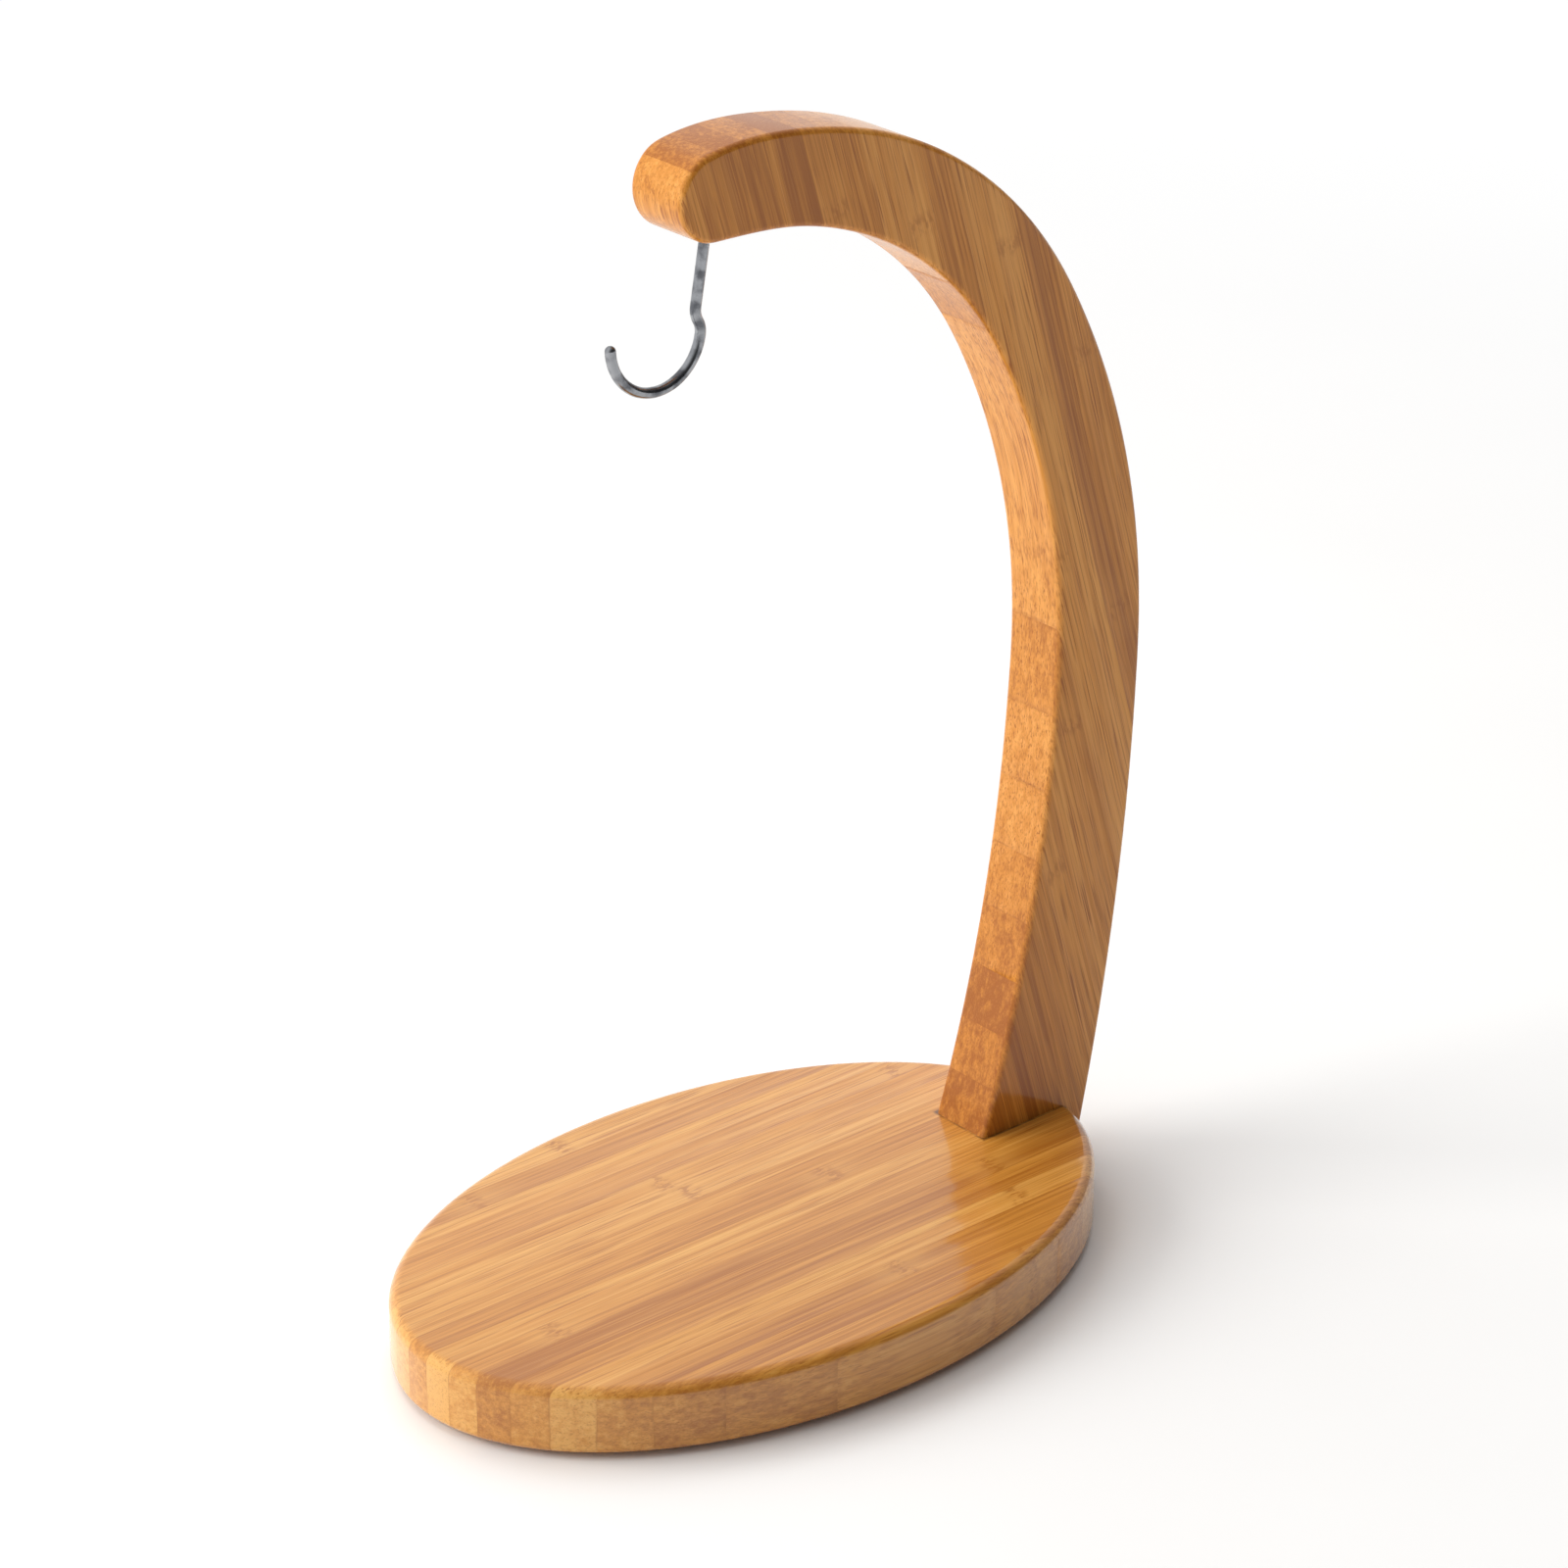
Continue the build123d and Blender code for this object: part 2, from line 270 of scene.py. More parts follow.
def new_group(name, ins, outs):
    """An empty shader group with named sockets; gives the tree and its group input and output nodes."""
    tree = bpy.data.node_groups.new(name, "ShaderNodeTree")
    for label, kind in ins:
        tree.interface.new_socket(name=label, in_out="INPUT", socket_type=kind)
    for label, kind in outs:
        tree.interface.new_socket(name=label, in_out="OUTPUT", socket_type=kind)
    return tree, tree.nodes.new("NodeGroupInput"), tree.nodes.new("NodeGroupOutput")


FLOAT, VECTOR, COLOUR = "NodeSocketFloat", "NodeSocketVector", "NodeSocketColor"


def bamboo_grain():
    """Strips, fibres, bundle ends, knuckles and glue lines, with a painted sheen on the palest fibres.

    Its space has X across the strips and Z along them. Facing is the surface's direction in that space,
    so that the ends of the strips can be paler than their sides.
    """
    if "bamboo grain" in bpy.data.node_groups:
        return bpy.data.node_groups["bamboo grain"]
    tree, given, made = new_group(
        "bamboo grain",
        [("Space", VECTOR), ("Tone", FLOAT), ("Seed", FLOAT), ("Knuckle", FLOAT),
         ("Knuckle Strength", FLOAT), ("First Seam", FLOAT), ("Strip Width", FLOAT), ("Pale", COLOUR),
         ("Amber", COLOUR), ("Dark", COLOUR), ("Fibre Contrast", FLOAT), ("Facing", VECTOR),
         ("End Paleness", FLOAT)],
        [("Color", COLOUR), ("Roughness", FLOAT), ("Height", FLOAT)])
    value = given.outputs
    facing = tree.nodes.new("ShaderNodeSeparateXYZ")
    put(tree, facing.inputs[0], value["Facing"])
    ends = ease(tree, calc(tree, "ABSOLUTE", facing.outputs[2]), 0.25, 0.85)
    parts = tree.nodes.new("ShaderNodeSeparateXYZ")
    put(tree, parts.inputs[0], value["Space"])
    across, along = parts.outputs[0], parts.outputs[2]
    offset = tree.nodes.new("ShaderNodeCombineXYZ")
    for socket, stride in zip(offset.inputs, (0.37, 0.61, 1.93)):
        put(tree, socket, calc(tree, "MULTIPLY", value["Seed"], stride))
    space = vector_calc(tree, "ADD", value["Space"], offset.outputs[0])

    hair = cloud(tree, space, HAIR, 3.0, 0.6)
    streak = cloud(tree, space, STREAK, 3.0, 0.55)
    drift = cloud(tree, space, DRIFT)
    bundle = ease(tree, cloud(tree, space, BUNDLES, 1.0), 0.56, 0.70)

    shade = calc(tree, "MULTIPLY_ADD", value["Tone"], calc(tree, "MULTIPLY_ADD", ends, 0.35, 0.42), 0.46)
    shade = calc(tree, "SUBTRACT", shade, calc(tree, "MULTIPLY", ends, value["End Paleness"]))
    for noise, strength in ((streak, 1.5), (drift, 0.7)):
        centred = calc(tree, "SUBTRACT", noise, 0.5)
        shade = calc(tree, "ADD", shade, calc(tree, "MULTIPLY", centred, strength))
    pale_side = calc(tree, "MULTIPLY", shade, 2.0, clamp=True)
    dark_side = calc(tree, "MULTIPLY_ADD", shade, 2.0, -1.0, clamp=True)
    colour = blend(tree, pale_side, value["Pale"], value["Amber"])
    colour = blend(tree, dark_side, colour, value["Dark"])

    fibres = calc(tree, "ADD", ease(tree, hair, 0.50, 0.72), calc(tree, "MULTIPLY", bundle, 0.8))
    contrast = calc(tree, "MULTIPLY", value["Fibre Contrast"], calc(tree, "MULTIPLY_ADD", ends, -0.45, 1.0))
    fibres = calc(tree, "MULTIPLY", fibres, contrast, clamp=True)
    colour = blend(tree, fibres, colour, value["Dark"])
    # painted sheen: the palest fibres are lightened towards the pale colour, as though they caught the light
    painted_fibre_sheen = calc(tree, "MULTIPLY", ease(tree, hair, 0.50, 0.30), 0.22)
    colour = blend(tree, painted_fibre_sheen, colour, value["Pale"])

    wobble = calc(tree, "MULTIPLY", calc(tree, "SUBTRACT", cloud(tree, space, WOBBLE), 0.5), 0.004)
    gap = calc(tree, "ABSOLUTE", calc(tree, "ADD", calc(tree, "SUBTRACT", along, value["Knuckle"]), wobble))
    speckle = ease(tree, cloud(tree, space, SPECKLE, 3.0), 0.44, 0.60)
    ring = calc(tree, "MULTIPLY", ease(tree, gap, 0.0003, 0.0042, 1.0, 0.0), value["Knuckle Strength"])
    ring = calc(tree, "MULTIPLY", ring, calc(tree, "MULTIPLY_ADD", speckle, 0.95, 0.03))
    halo = calc(tree, "MULTIPLY", ease(tree, gap, 0.003, 0.014, 0.30, 0.0), value["Knuckle Strength"])
    colour = blend(tree, halo, colour, value["Pale"])
    colour = blend(tree, ring, colour, value["Dark"])

    turns = calc(tree, "DIVIDE", calc(tree, "SUBTRACT", across, value["First Seam"]), value["Strip Width"])
    turns = calc(tree, "FRACT", turns)
    edge = calc(tree, "MINIMUM", turns, calc(tree, "SUBTRACT", 1.0, turns))
    edge = calc(tree, "MULTIPLY", edge, value["Strip Width"])
    seam = ease(tree, edge, 0.00006, 0.00030, 1.0, 0.0)
    seam = calc(tree, "MULTIPLY", seam, ease(tree, drift, 0.35, 0.65, 0.05, 0.45))
    at_ends = calc(tree, "MULTIPLY_ADD", ends, value["End Paleness"], 1.0)
    seam = calc(tree, "MULTIPLY", seam, at_ends, clamp=True)
    colour = blend(tree, seam, colour, value["Dark"])

    put(tree, made.inputs["Color"], colour)
    rough = calc(tree, "MULTIPLY_ADD", hair, 0.22, 0.30)
    put(tree, made.inputs["Roughness"], calc(tree, "MULTIPLY_ADD", seam, 0.15, rough))
    height = calc(tree, "MULTIPLY_ADD", fibres, -0.5, calc(tree, "MULTIPLY", streak, 0.6))
    hollows = calc(tree, "MULTIPLY_ADD", ring, 0.6, calc(tree, "MULTIPLY", seam, 0.8))
    put(tree, made.inputs["Height"], calc(tree, "SUBTRACT", height, hollows))
    return tree


def fine_wear():
    """Small even variation for metal and rubber: a cloudy colour shift and a fine roughness shift."""
    if "fine wear" in bpy.data.node_groups:
        return bpy.data.node_groups["fine wear"]
    tree, given, made = new_group(
        "fine wear",
        [("Space", VECTOR), ("Clean", COLOUR), ("Worn", COLOUR), ("Roughness Low", FLOAT),
         ("Roughness High", FLOAT)],
        [("Color", COLOUR), ("Roughness", FLOAT), ("Height", FLOAT)])
    value = given.outputs
    patches = ease(tree, cloud(tree, value["Space"], (240, 240, 240), 3.0), 0.40, 0.66)
    grains = cloud(tree, value["Space"], (3200, 3200, 3200), 2.0)
    put(tree, made.inputs["Color"], blend(tree, patches, value["Clean"], value["Worn"]))
    mixed = calc(tree, "MULTIPLY_ADD", patches, 0.6, calc(tree, "MULTIPLY", grains, 0.4))
    spread = calc(tree, "SUBTRACT", value["Roughness High"], value["Roughness Low"])
    put(tree, made.inputs["Roughness"], calc(tree, "MULTIPLY_ADD", mixed, spread, value["Roughness Low"]))
    put(tree, made.inputs["Height"], grains)
    return tree


def new_material(name):
    """A material with its Principled shader and an Object coordinate ready to use."""
    material = bpy.data.materials.new(name)
    material.use_nodes = True
    tree = material.node_tree
    shader = tree.nodes["Principled BSDF"]
    place = tree.nodes.new("ShaderNodeTexCoord").outputs["Object"]
    return material, tree, shader, place


def use_group(tree, group, **values):
    node = tree.nodes.new("ShaderNodeGroup")
    node.node_tree = group
    for label, value in values.items():
        put(tree, node.inputs[label.replace("_", " ")], value)
    return node.outputs


def bump(tree, shader, height, strength, distance):
    node = tree.nodes.new("ShaderNodeBump")
    node.inputs["Strength"].default_value = strength
    node.inputs["Distance"].default_value = distance
    tree.links.new(height, node.inputs["Height"])
    tree.links.new(node.outputs[0], shader.inputs["Normal"])


def own_value(tree, name):
    node = tree.nodes.new("ShaderNodeAttribute")
    node.attribute_name = name
    return node.outputs["Fac"]


def painted_contact_shadow(tree, place, foot, colour, dark):
    """Painted contact shadow: darken a hairline round a rectangular foot that stands on the surface."""
    (low_x, high_x), half_y = foot
    parts = tree.nodes.new("ShaderNodeSeparateXYZ")
    tree.links.new(place, parts.inputs[0])
    from_middle = calc(tree, "ABSOLUTE", calc(tree, "SUBTRACT", parts.outputs[0], (low_x + high_x) / 2))
    gap_x = calc(tree, "SUBTRACT", from_middle, (high_x - low_x) / 2)
    gap_y = calc(tree, "SUBTRACT", calc(tree, "ABSOLUTE", parts.outputs[1]), half_y)
    gap = calc(tree, "MAXIMUM", gap_x, gap_y)
    uneven = ease(tree, cloud(tree, place, (260, 260, 260), 2.0), 0.35, 0.6, 0.35, 0.95)
    # painted shadow, darkest at the foot's edge and fading out over about a millimetre, in a darker copy of
    # the dark bamboo
    line = calc(tree, "MULTIPLY", ease(tree, gap, 0.0002, 0.0013, 1.0, 0.0), uneven)
    return blend(tree, line, colour, (dark[0] * 0.3, dark[1] * 0.3, dark[2] * 0.3, 1))


def lacquered_bamboo(name, settings, turn, first_seam, contrast, bare_shine, lacquer, end_paleness,
                     shadowed_foot=None):
    """Lacquered bamboo; turn carries a point to the space with X across the strips and Z along them."""
    material, tree, shader, place = new_material(name)
    mapping = tree.nodes.new("ShaderNodeMapping")
    mapping.inputs["Rotation"].default_value = turn
    tree.links.new(place, mapping.inputs["Vector"])
    facing = tree.nodes.new("ShaderNodeMapping")
    facing.vector_type = "VECTOR"
    facing.inputs["Rotation"].default_value = turn
    tree.links.new(place.node.outputs["Normal"], facing.inputs["Vector"])
    grain = use_group(
        tree, bamboo_grain(), Facing=facing.outputs[0], End_Paleness=end_paleness, Space=mapping.outputs[0],
        Tone=own_value(tree, "tone"), Seed=own_value(tree, "seed"), Knuckle=own_value(tree, "knuckle"),
        Knuckle_Strength=settings.knuckles, First_Seam=first_seam, Strip_Width=settings.strip_width,
        Pale=settings.pale, Amber=settings.amber, Dark=settings.dark, Fibre_Contrast=contrast)
    colour = grain["Color"]
    # painted contact shadow on the board round the arm's foot
    if shadowed_foot:
        colour = painted_contact_shadow(tree, place, shadowed_foot, colour, settings.dark)
    tree.links.new(colour, shader.inputs["Base Color"])
    tree.links.new(grain["Roughness"], shader.inputs["Roughness"])
    shader.inputs["Specular IOR Level"].default_value = bare_shine
    shader.inputs["Coat Weight"].default_value = lacquer
    shader.inputs["Coat Roughness"].default_value = 0.12
    shader.inputs["Coat IOR"].default_value = 1.5
    bump(tree, shader, grain["Height"], 0.35, 0.00012)
    return material


def worn_surface(name, clean, worn, low, high, depth):
    """A material with fine wear: two colours, two roughnesses, and a bump of a strength and a distance."""
    material, tree, shader, place = new_material(name)
    wear = use_group(tree, fine_wear(), Space=place, Clean=clean, Worn=worn,
                     Roughness_Low=low, Roughness_High=high)
    tree.links.new(wear["Color"], shader.inputs["Base Color"])
    tree.links.new(wear["Roughness"], shader.inputs["Roughness"])
    bump(tree, shader, wear["Height"], *depth)
    return material, shader


def plated_metal(name, clean, worn, low, high):
    material, shader = worn_surface(name, clean, worn, low, high, (0.15, 0.00003))
    shader.inputs["Metallic"].default_value = 1.0
    return material


def moulded_rubber(name, colour):
    dusty = (colour[0] * 2.4, colour[1] * 2.4, colour[2] * 2.4, 1)
    return worn_surface(name, colour, dusty, 0.6, 0.9, (0.4, 0.00006))[0]


# ---------------------------------------------------------------- mesh helpers

def new_object(name, mesh):
    item = bpy.data.objects.new(name, mesh)
    bpy.context.scene.collection.objects.link(item)
    return item


def soften(mesh, crisp=math.radians(30)):
    """Smooth shading, broken where two faces meet at more than the crisp angle."""
    work = bmesh.new()
    work.from_mesh(mesh)
    for face in work.faces:
        face.smooth = True
    for line in work.edges:
        line.smooth = len(line.link_faces) == 2 and line.calc_face_angle() < crisp
    work.to_mesh(mesh)
    work.free()


def closed_copy(node, name):
    """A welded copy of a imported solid's mesh, smooth over its curves and crisp at its cut edges."""
    work = bmesh.new()
    work.from_mesh(frame["nodes"][node].data)
    bmesh.ops.remove_doubles(work, verts=work.verts, dist=0.002 * MM)
    mesh = bpy.data.meshes.new(name)
    work.to_mesh(mesh)
    work.free()
    for attribute in [a for a in mesh.attributes if a.name == "custom_normal"]:
        mesh.attributes.remove(attribute)
    soften(mesh)
    return mesh


def mark(mesh, name, value):
    attribute = mesh.attributes.new(name, "FLOAT", "POINT")
    attribute.data.foreach_set("value", [value] * len(mesh.vertices))


def strip_piece(node, material, facts, seed):
    """One strip of a board as its own piece, carrying its tone, seed and knuckle for the material."""
    mesh = closed_copy(node, node.replace("strip", "bamboo"))
    tone, knuckle = facts
    mark(mesh, "tone", tone)
    mark(mesh, "seed", seed)
    mark(mesh, "knuckle", knuckle * MM)
    mesh.materials.append(material)
    piece = new_object(mesh.name, mesh)
    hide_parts(node)
    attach(piece, "stand")


def circle(sides):
    """Angles of the points round a round piece."""
    return [2 * math.pi * i / sides for i in range(sides)]


def level_ring(z, radius_at, sides):
    """Points round the upright axis at a height; radius_at gives the radius at an angle."""
    return [Vector((radius_at(a) * math.cos(a), radius_at(a) * math.sin(a), z)) for a in circle(sides)]


def swept(rings):
    """A closed tube through rings of points, each ring the same number of points long."""
    work = bmesh.new()
    rows = [[work.verts.new(point) for point in ring] for ring in rings]
    count = len(rows[0])
    for low, high in zip(rows, rows[1:]):
        for i in range(count):
            work.faces.new((low[i], low[(i + 1) % count], high[(i + 1) % count], high[i]))
    work.faces.new(rows[0])
    work.faces.new(rows[-1])
    bmesh.ops.recalc_face_normals(work, faces=work.faces)
    mesh = bpy.data.meshes.new("tube")
    work.to_mesh(mesh)
    work.free()
    return mesh


def thread_radius(turns, core, outer):
    """Radius of a sharp thread at a number of turns along it."""
    share = turns % 1.0
    return core + (outer - core) * max(0.0, 1.0 - abs(share - 0.5) / THREAD_HALF_FLANK)


def copies_tree():
    """Geometry Nodes: one piece copied to every point, turned about the upright axis by chance."""
    tree = bpy.data.node_groups.new("placed copies", "GeometryNodeTree")
    for label, kind in (("Geometry", "NodeSocketGeometry"), ("Piece", "NodeSocketObject"),
                        ("Most Turn", FLOAT), ("Seed", "NodeSocketInt"), ("Material", "NodeSocketMaterial")):
        tree.interface.new_socket(name=label, in_out="INPUT", socket_type=kind)
    tree.interface.new_socket(name="Geometry", in_out="OUTPUT", socket_type="NodeSocketGeometry")
    given, made = tree.nodes.new("NodeGroupInput"), tree.nodes.new("NodeGroupOutput")
    source = tree.nodes.new("GeometryNodeObjectInfo")
    chance = tree.nodes.new("FunctionNodeRandomValue")
    chance.data_type = "FLOAT"
    turn = tree.nodes.new("ShaderNodeCombineXYZ")
    copies = tree.nodes.new("GeometryNodeInstanceOnPoints")
    real = tree.nodes.new("GeometryNodeRealizeInstances")
    paint = tree.nodes.new("GeometryNodeSetMaterial")
    link = tree.links.new
    link(given.outputs["Piece"], source.inputs["Object"])
    link(given.outputs["Most Turn"], chance.inputs[3])
    link(given.outputs["Seed"], chance.inputs["Seed"])
    link(chance.outputs[1], turn.inputs[2])
    link(given.outputs["Geometry"], copies.inputs["Points"])
    link(source.outputs["Geometry"], copies.inputs["Instance"])
    link(turn.outputs[0], copies.inputs["Rotation"])
    link(copies.outputs[0], real.inputs[0])
    link(real.outputs[0], paint.inputs["Geometry"])
    link(given.outputs["Material"], paint.inputs["Material"])
    link(paint.outputs[0], made.inputs[0])
    return tree


def placed_copies(name, pattern, points, most_turn, seed, material):
    """The pattern object copied to the points as one plain mesh; the pattern is then thrown away."""
    mesh = bpy.data.meshes.new(name + "_points")
    mesh.from_pydata(points, [], [])
    carrier = new_object(name + "_points", mesh)
    tree = bpy.data.node_groups.get("placed copies") or copies_tree()
    modifier = carrier.modifiers.new("copies", "NODES")
    modifier.node_group = tree
    wanted = {"Piece": pattern, "Most Turn": most_turn, "Seed": seed, "Material": material}
    for item in tree.interface.items_tree:
        if item.in_out == "INPUT" and item.name in wanted:
            modifier[item.identifier] = wanted[item.name]
    graph = bpy.context.evaluated_depsgraph_get()
    result = bpy.data.meshes.new_from_object(carrier.evaluated_get(graph))
    result.name = name
    bpy.data.objects.remove(carrier)
    bpy.data.objects.remove(pattern)
    if not result.polygons:
        raise RuntimeError(f"{name}: the copies came out empty")
    result.materials.clear()
    result.materials.append(material)
    return new_object(name, result)


def span(nodes):
    """Lowest and highest corner of several CAD nodes together."""
    boxes = [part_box(node) for node in nodes]
    low = Vector([min(box[0][i] for box in boxes) for i in range(3)])
    high = Vector([max(box[1][i] for box in boxes) for i in range(3)])
    return low, high


def nodes_named(start):
    return sorted(name for name in frame["nodes"] if name.startswith(start))


# ---------------------------------------------------------------- pieces

class STAND_OT_board(Operator):
    """Lay up the oval base board from its bamboo strips"""
    bl_idname = "stand.board"
    bl_label = "Base board"

    def execute(self, context):
        settings = context.scene.stand_board
        nodes = nodes_named("base_strip_")
        low, high = span(nodes)
        turn = (math.radians(-90), math.radians(-90), 0)
        standing = [node for node in nodes_named("arm_strip_")
                    if abs(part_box(node)[0].z - high.z) < 0.05 * MM]
        foot_low, foot_high = span(standing)
        # the arm's foot on the board, round which the board gets a painted contact shadow
        shadowed_foot = ((foot_low.x + 0.3 * MM, high.x + 20 * MM), foot_high.y - 0.2 * MM)
        material = lacquered_bamboo("board bamboo", settings, turn, low.y + settings.first_strip,
                                    contrast=0.75, bare_shine=0.3, lacquer=0.95, end_paleness=0.32,
                                    shadowed_foot=shadowed_foot)
        for node in nodes:
            number = int(node.split("_")[2])
            strip_piece(node, material, BOARD_STRIPS[number], number * BOARD_SEED_STEP)
        return {"FINISHED"}


class STAND_OT_arm(Operator):
    """Lay up the curved arm from its slanting bamboo strips"""
    bl_idname = "stand.arm"
    bl_label = "Arm"

    def execute(self, context):
        settings = context.scene.stand_arm
        nodes = nodes_named("arm_strip_")
        lean, rise = math.cos(settings.slant), math.sin(settings.slant)
        first = frame["nodes"]["arm_strip_02"].data.vertices
        seam = min(v.co.x * lean + v.co.z * rise for v in first)
        material = lacquered_bamboo("arm bamboo", settings, (0, settings.slant, 0), seam,
                                    contrast=0.85, bare_shine=0.08, lacquer=0.6, end_paleness=0.0)
        for node in nodes:
            number = int(node.split("_")[2])
            seed = ARM_FIRST_SEED + number * ARM_SEED_STEP
            strip_piece(node, material, ARM_STRIPS[number], seed)
        return {"FINISHED"}


class STAND_OT_hook(Operator):
    """Bend the wire hook, with its screw thread and rounded tip"""
    bl_idname = "stand.hook"
    bl_label = "Hook"

    def execute(self, context):
        s = context.scene.stand_hook
        joint = frame["joints"][0]
        origin, up = Vector(joint["pos_m"]), Vector(joint["axis"]).normalized()
        side = Vector((0, 1, 0))
        out = up.cross(side)

        def ring(x, y, heading, radius_at):
            """Points round the wire at a place in the hook's plane, the wire running at heading."""
            normal = out * -math.sin(heading) + up * math.cos(heading)
            middle = origin + out * x + up * y
            return [middle + (normal * math.cos(a) + side * math.sin(a)) * radius_at(a)
                    for a in circle(WIRE_SIDES)]

        def plain(angle):
            return s.wire_radius

        rings = []
        down = -math.pi / 2
        for i in range(THREAD_STEPS + 1):
            y = s.thread_length - (s.thread_length - THREAD_END) * i / THREAD_STEPS
            from_point = (s.thread_length - y) / HOOK_POINT
            taper = min(1.0, HOOK_POINT_SHARE + (1 - HOOK_POINT_SHARE) * from_point)
            core = s.wire_radius * (1 - THREAD_DEPTH * min(1.0, (y - THREAD_END) / THREAD_FADE))

            def threaded(angle):
                return taper * thread_radius(y / s.pitch + angle / (2 * math.pi), core, s.wire_radius)

            rings.append(ring(0, y, down, threaded))
        shank_top = 0.5 * MM
        for i in range(1, SHANK_STEPS + 1):
            rings.append(ring(0, shank_top - (s.shank + shank_top) * i / SHANK_STEPS, down, plain))

        x, y, heading = 0.0, -s.shank, down
        jog_turn = math.acos(1 - s.jog / (2 * s.jog_radius))
        for radius, turn, count in ((s.jog_radius, -jog_turn, JOG_STEPS), (s.jog_radius, jog_turn, JOG_STEPS),
                                    (s.bowl_radius, s.bowl_turn, BOWL_STEPS)):
            reach = math.copysign(radius, turn)
            centre_x, centre_y = x - reach * math.sin(heading), y + reach * math.cos(heading)
            start = heading
            for i in range(1, count + 1):
                heading = start + turn * i / count
                x, y = centre_x + reach * math.sin(heading), centre_y - reach * math.cos(heading)
                rings.append(ring(x, y, heading, plain))
        for i in range(1, TIP_STEPS + 1):
            round_off = math.radians(12.5 * i)
            ahead = s.wire_radius * math.sin(round_off)
            rings.append(ring(x + ahead * math.cos(heading), y + ahead * math.sin(heading), heading,
                              lambda angle: s.wire_radius * math.cos(round_off)))
        mesh = swept(rings)
        mesh.name = "wire_hook"
        soften(mesh, math.radians(50))
        mesh.materials.append(plated_metal("bright nickel wire", s.plate, WORN_PLATE, 0.14, 0.32))
        piece = new_object("wire_hook", mesh)
        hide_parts("hook")
        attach(piece, "hook")
        return {"FINISHED"}


class STAND_OT_screws(Operator):
    """Drive the countersunk screws that hold the arm to the board"""
    bl_idname = "stand.screws"
    bl_label = "Screws"

    def execute(self, context):
        s = context.scene.stand_fittings
        low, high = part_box("foot_screws")
        places = [(low.x + SCREW_HEAD_RADIUS, 0, low.z), (high.x - SCREW_HEAD_RADIUS, 0, low.z)]
        length = high.z - low.z
        rings = [level_ring(z * MM, lambda angle: radius * MM, s.sides) for z, radius in SCREW_PROFILE]
        for i in range(1, SCREW_STEPS + 1):
            z = SCREW_THREAD_START + (length - SCREW_THREAD_START) * i / SCREW_STEPS
            taper = min(1.0, SCREW_POINT_SHARE + (1 - SCREW_POINT_SHARE) * (length - z) / SCREW_POINT)

            def threaded(angle):
                turns = z / s.pitch - angle / (2 * math.pi)
                return taper * thread_radius(turns, SCREW_CORE_RADIUS, SCREW_THREAD_RADIUS)

            rings.append(level_ring(z, threaded, s.sides))
        mesh = swept(rings)
        pattern = new_object("screw_pattern", mesh)
        for wide, deep in ((s.recess_arm, RECESS_WIDTH), (RECESS_WIDTH, s.recess_arm)):
            cutter_mesh = bpy.data.meshes.new("recess")
            work = bmesh.new()
            bmesh.ops.create_cube(work, size=1.0, matrix=Matrix.Diagonal((wide, deep, RECESS_HEIGHT, 1)))
            work.to_mesh(cutter_mesh)
            work.free()
            cutter = new_object("recess", cutter_mesh)
            cut = pattern.modifiers.new("recess", "BOOLEAN")
            cut.operation = "DIFFERENCE"
            cut.solver = "EXACT"
            cut.object = cutter
            graph = bpy.context.evaluated_depsgraph_get()
            pattern.data = bpy.data.meshes.new_from_object(pattern.evaluated_get(graph))
            pattern.modifiers.clear()
            bpy.data.objects.remove(cutter)
        soften(pattern.data, math.radians(35))
        material = plated_metal("zinc plate", s.zinc, WORN_ZINC, 0.25, 0.45)
        piece = placed_copies("wood_screws", pattern, places, 1.2, 7, material)
        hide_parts("foot_screws")
        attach(piece, "stand")
        return {"FINISHED"}


class STAND_OT_pads(Operator):
    """Stick the foot pads under the board"""
    bl_idname = "stand.pads"
    bl_label = "Foot pads"

    def execute(self, context):
        s = context.scene.stand_fittings
        nodes = nodes_named("pad_")
        boxes = [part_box(node) for node in nodes]
        radius = (boxes[0][1].x - boxes[0][0].x) / 2
        thick = boxes[0][1].z - boxes[0][0].z
        profile = [(PAD_HUB, 0.0), (radius * 0.5, 0.0)]
        for i in range(PAD_EDGE_STEPS + 1):
            a = math.radians(90 * i / PAD_EDGE_STEPS)
            profile.append((radius - PAD_EDGE + PAD_EDGE * math.sin(a), PAD_EDGE - PAD_EDGE * math.cos(a)))
        profile += [(radius, thick * 0.6), (radius, thick - PAD_CRISP), (radius - PAD_CRISP, thick),
                    (PAD_HUB, thick)]
        mesh = swept([level_ring(z, lambda angle: r, s.sides) for r, z in profile])
        soften(mesh, math.radians(50))
        pattern = new_object("pad_pattern", mesh)
        places = [((low.x + high.x) / 2, (low.y + high.y) / 2, low.z) for low, high in boxes]
        material = moulded_rubber("pad rubber", s.rubber)
        piece = placed_copies("foot_pads", pattern, places, 6.0, 3, material)
        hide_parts(*nodes)
        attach(piece, "stand")
        return {"FINISHED"}


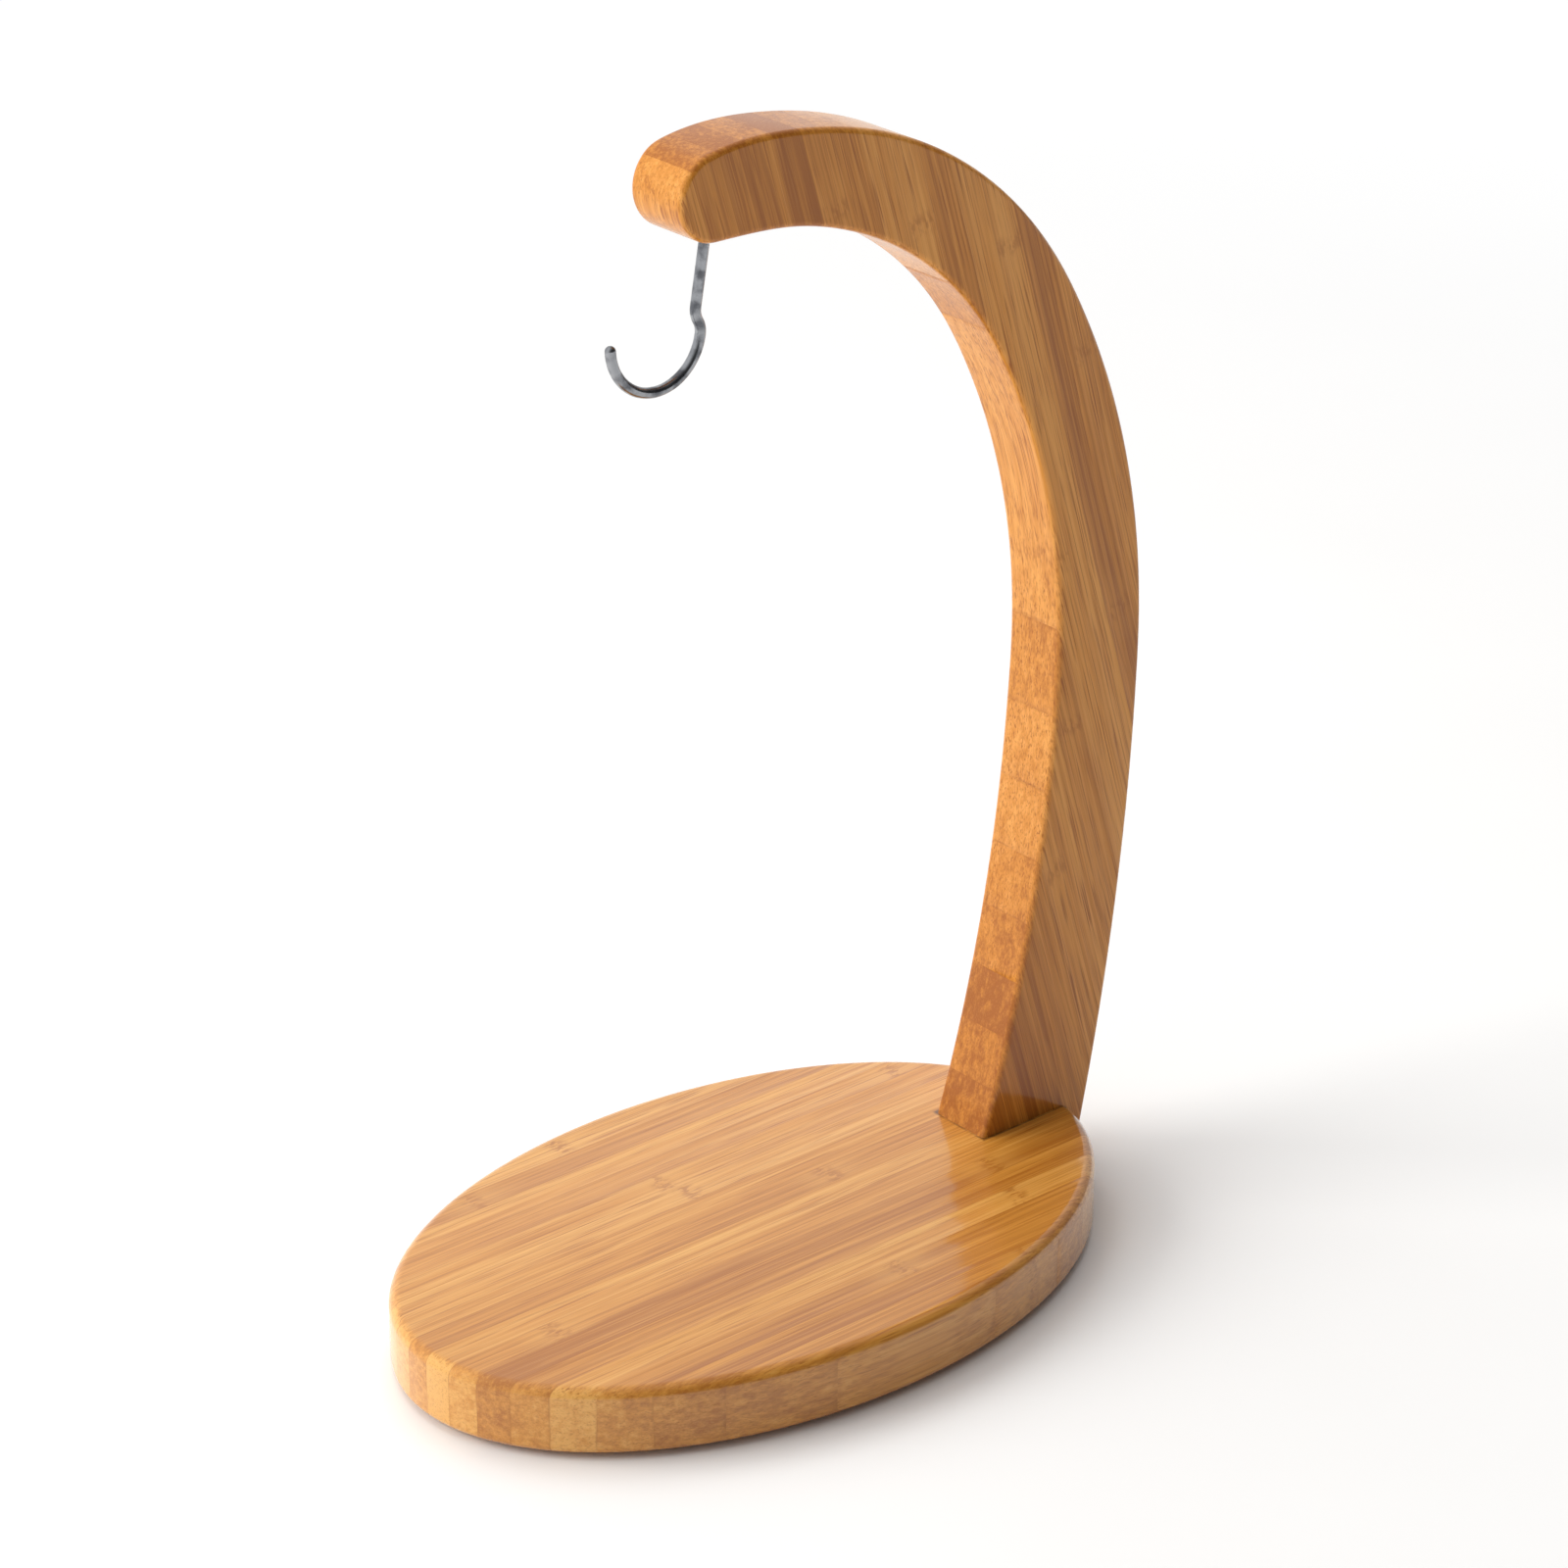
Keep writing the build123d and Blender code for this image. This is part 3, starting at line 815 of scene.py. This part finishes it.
class STAND_OT_studio(Operator):
    """Set up the pale floor, the soft lights and the camera"""
    bl_idname = "stand.studio"
    bl_label = "Studio"

    def execute(self, context):
        s = context.scene.stand_studio
        scene = context.scene
        low, high = span(nodes_named("base_strip_"))
        middle = Vector(((low.x + high.x) / 2, 0, low.z))

        mesh = bpy.data.meshes.new("floor")
        work = bmesh.new()
        bmesh.ops.create_grid(work, x_segments=4, y_segments=4, size=FLOOR_HALF)
        work.to_mesh(mesh)
        work.free()
        material, tree, shader, place = new_material("floor paper")
        mottle = cloud(tree, place, (6, 6, 6), 2.0)
        paper = blend(tree, mottle, (0.90, 0.90, 0.90, 1), (0.94, 0.94, 0.94, 1))
        reach = tree.nodes.new("ShaderNodeVectorMath")
        reach.operation = "LENGTH"
        tree.links.new(place, reach.inputs[0])
        far = ease(tree, reach.outputs["Value"], *FLOOR_FADE)
        put(tree, shader.inputs["Base Color"], blend(tree, far, paper, (0, 0, 0, 1)))
        put(tree, shader.inputs["Emission Color"], blend(tree, far, (0, 0, 0, 1), (1, 1, 1, 1)))
        shader.inputs["Emission Strength"].default_value = 1.0
        shader.inputs["Roughness"].default_value = 0.9
        shader.inputs["Specular IOR Level"].default_value = 0.1
        mesh.materials.append(material)
        floor = new_object("floor", mesh)

        world = bpy.data.worlds.new("studio room")
        scene.world = world
        world.use_nodes = True
        tree = world.node_tree
        sky = tree.nodes["Background"]
        direction = tree.nodes.new("ShaderNodeTexCoord").outputs["Generated"]
        bright_side = tree.nodes.new("ShaderNodeVectorMath")
        bright_side.operation = "DOT_PRODUCT"
        tree.links.new(direction, bright_side.inputs[0])
        bright_side.inputs[1].default_value = BRIGHT_SIDE
        strength = ease(tree, bright_side.outputs["Value"], -0.75, 0.50, 0.06, 1.0)
        seen = tree.nodes.new("ShaderNodeLightPath").outputs["Is Camera Ray"]
        strength = calc(tree, "MAXIMUM", strength, seen)
        put(tree, sky.inputs["Strength"], calc(tree, "MULTIPLY", strength, s.sky))
        sky.inputs["Color"].default_value = (1, 1, 1, 1)

        for name, share, size, place, shines in LAMPS:
            lamp = bpy.data.lights.new(name, "AREA")
            lamp.shape = "SQUARE"
            lamp.size = size
            lamp.energy = s.key * share
            lamp.color = LAMP_TINT
            item = new_object(name.replace(" ", "_"), lamp)
            item.location = place
            item.visible_glossy = shines
            aim = Vector(LAMP_AIM) - Vector(place)
            item.rotation_euler = aim.to_track_quat("-Z", "Y").to_euler()

        back = Vector((math.sin(s.azimuth) * math.cos(s.elevation),
                       -math.cos(s.azimuth) * math.cos(s.elevation), math.sin(s.elevation)))
        right = Vector((math.cos(s.azimuth), math.sin(s.azimuth), 0))
        up = back.cross(right)
        lens = bpy.data.cameras.new("camera")
        lens.lens = s.lens
        lens.sensor_width = SENSOR_WIDTH
        camera = new_object("camera", lens)
        axes = Matrix((right, up, back)).transposed().to_4x4()
        camera.matrix_world = Matrix.Translation(middle + Vector(s.place)) @ axes
        scene.camera = camera
        scene.view_settings.view_transform = "Standard"
        return {"FINISHED"}


class STAND_PT_panel(Panel):
    """Lists the stand's sizes, colours and pieces"""
    bl_idname = "STAND_PT_panel"
    bl_label = "Bamboo hook stand"
    bl_space_type = "VIEW_3D"
    bl_region_type = "UI"
    bl_category = "Stand"

    def draw(self, context):
        layout = self.layout
        for settings, operators in GROUPS:
            box = layout.box()
            for operator in operators:
                box.operator(operator.bl_idname)
            for name in settings.__annotations__:
                box.prop(getattr(context.scene, SETTINGS[settings]), name)


SETTINGS = {
    BoardSettings: "stand_board",
    ArmSettings: "stand_arm",
    HookSettings: "stand_hook",
    FittingSettings: "stand_fittings",
    StudioSettings: "stand_studio",
}
GROUPS = (
    (BoardSettings, (STAND_OT_board,)),
    (ArmSettings, (STAND_OT_arm,)),
    (HookSettings, (STAND_OT_hook,)),
    (FittingSettings, (STAND_OT_screws, STAND_OT_pads)),
    (StudioSettings, (STAND_OT_studio,)),
)
CLASSES = (*SETTINGS, *(operator for group in GROUPS for operator in group[1]), STAND_PT_panel)


def register():
    for cls in CLASSES:
        bpy.utils.register_class(cls)
    for settings, name in SETTINGS.items():
        setattr(bpy.types.Scene, name, PointerProperty(type=settings))


def unregister():
    for name in SETTINGS.values():
        delattr(bpy.types.Scene, name)
    for cls in reversed(CLASSES):
        bpy.utils.unregister_class(cls)


def main():
    register()
    bpy.ops.stand.board()
    bpy.ops.stand.arm()
    bpy.ops.stand.hook()
    bpy.ops.stand.screws()
    bpy.ops.stand.pads()
    bpy.ops.stand.studio()


if __name__ == "__main__":
    main()
